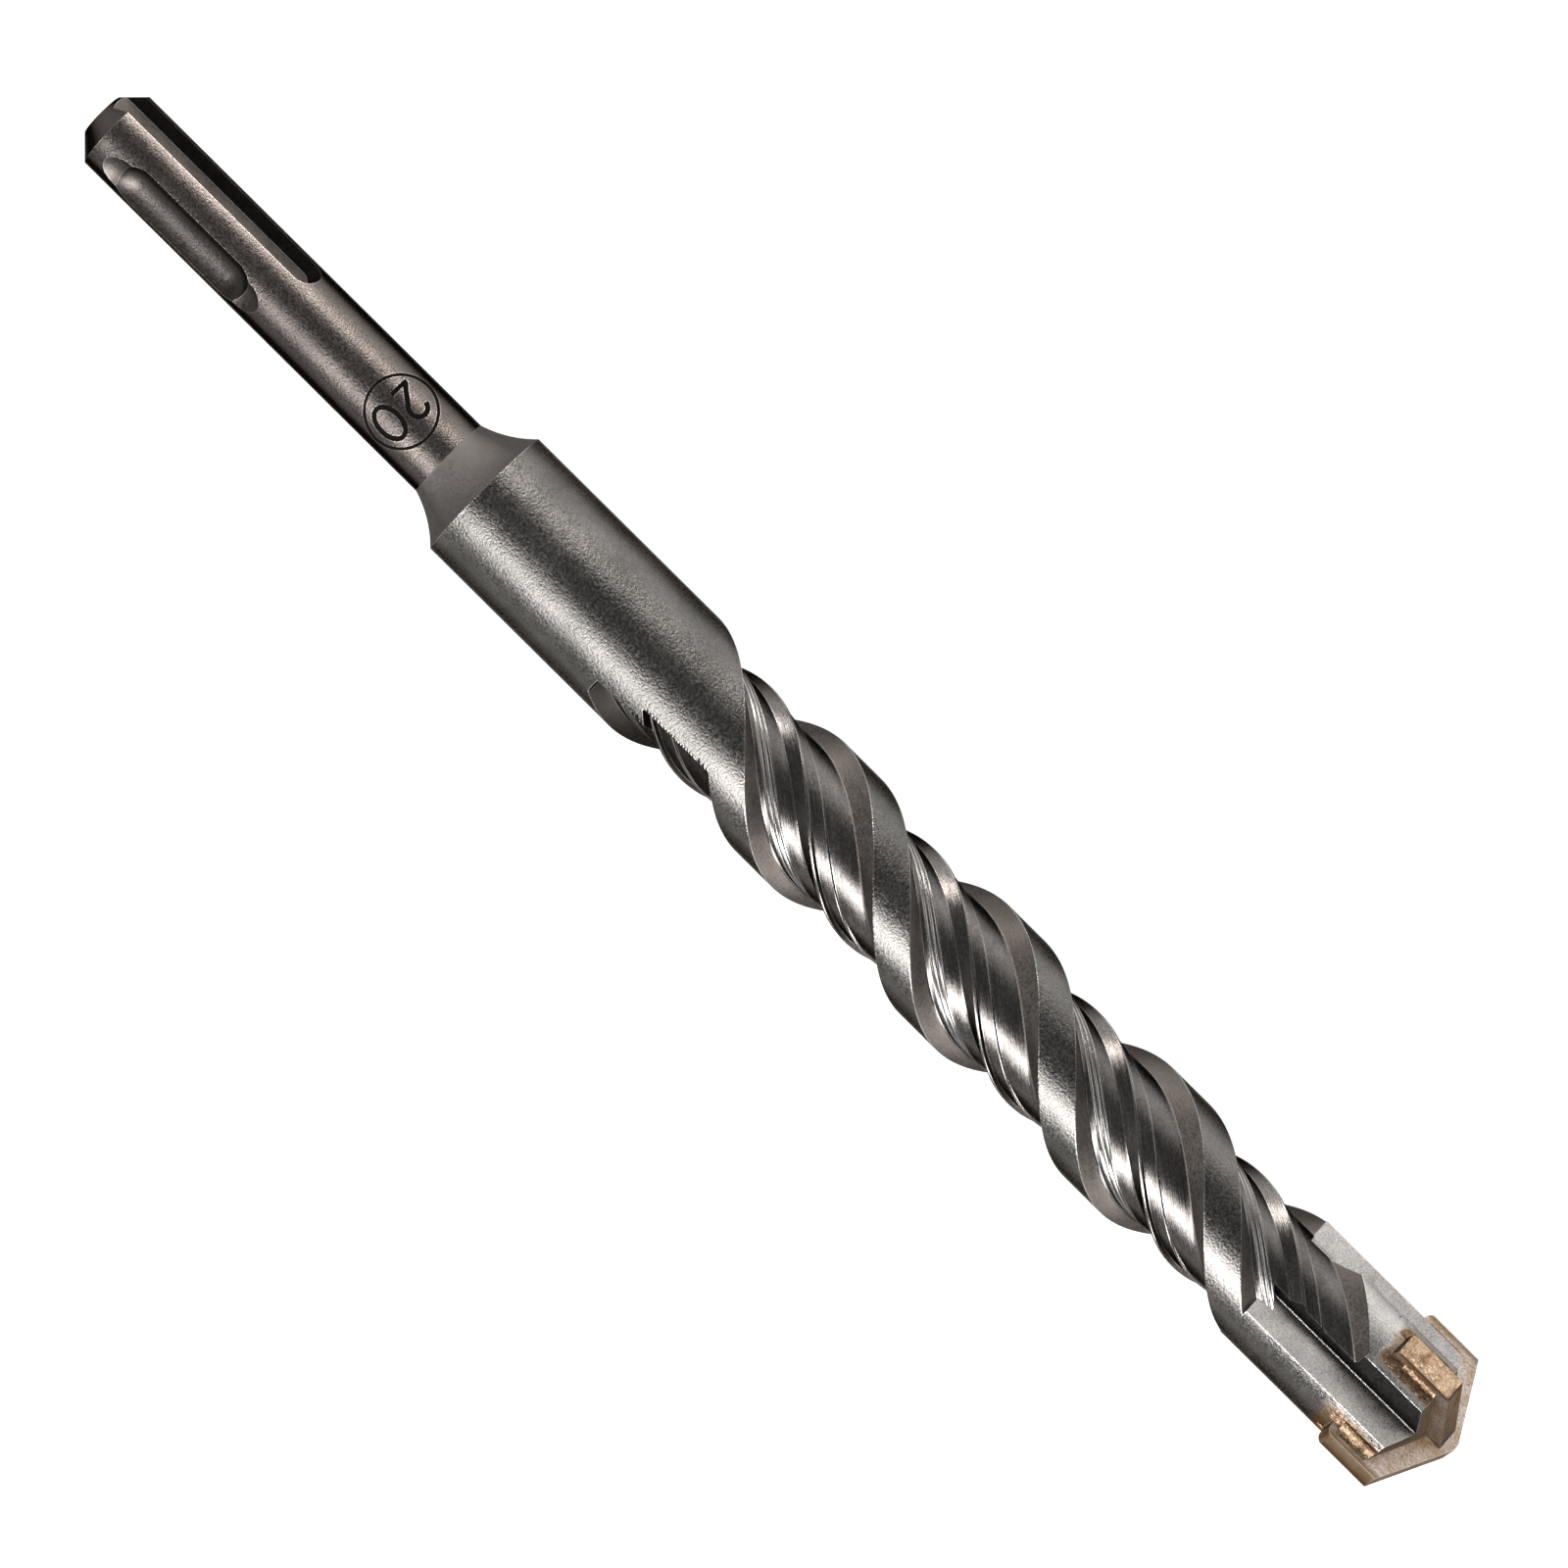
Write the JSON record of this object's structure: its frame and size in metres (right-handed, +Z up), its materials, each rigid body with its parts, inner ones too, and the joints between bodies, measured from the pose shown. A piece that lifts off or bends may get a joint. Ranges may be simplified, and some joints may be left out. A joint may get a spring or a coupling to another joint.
{
  "type": "sds plus drill bit",
  "caption": "Hammer drill bit with a slotted quick-fit shank, helical stem and cross-shaped head with brazed carbide plates.",
  "frame": {"origin": "centre of the shank's end face, on the axis", "axes": "+X along the axis to the point, +Z up with the bit lying on its stem between two arms of the head"},
  "size_m": [0.2056, 0.0166, 0.0166],
  "materials": {
    "blasted_steel": "blasted and milled",
    "carbide": "sintered, ground",
    "braze": "as brazed"
  },
  "bodies": {
    "root": {"drill_body": "blasted_steel", "main_cutter": "carbide", "side_cutter_upper": "carbide", "side_cutter_lower": "carbide", "braze_filler": "braze"}
  },
  "joints": []
}
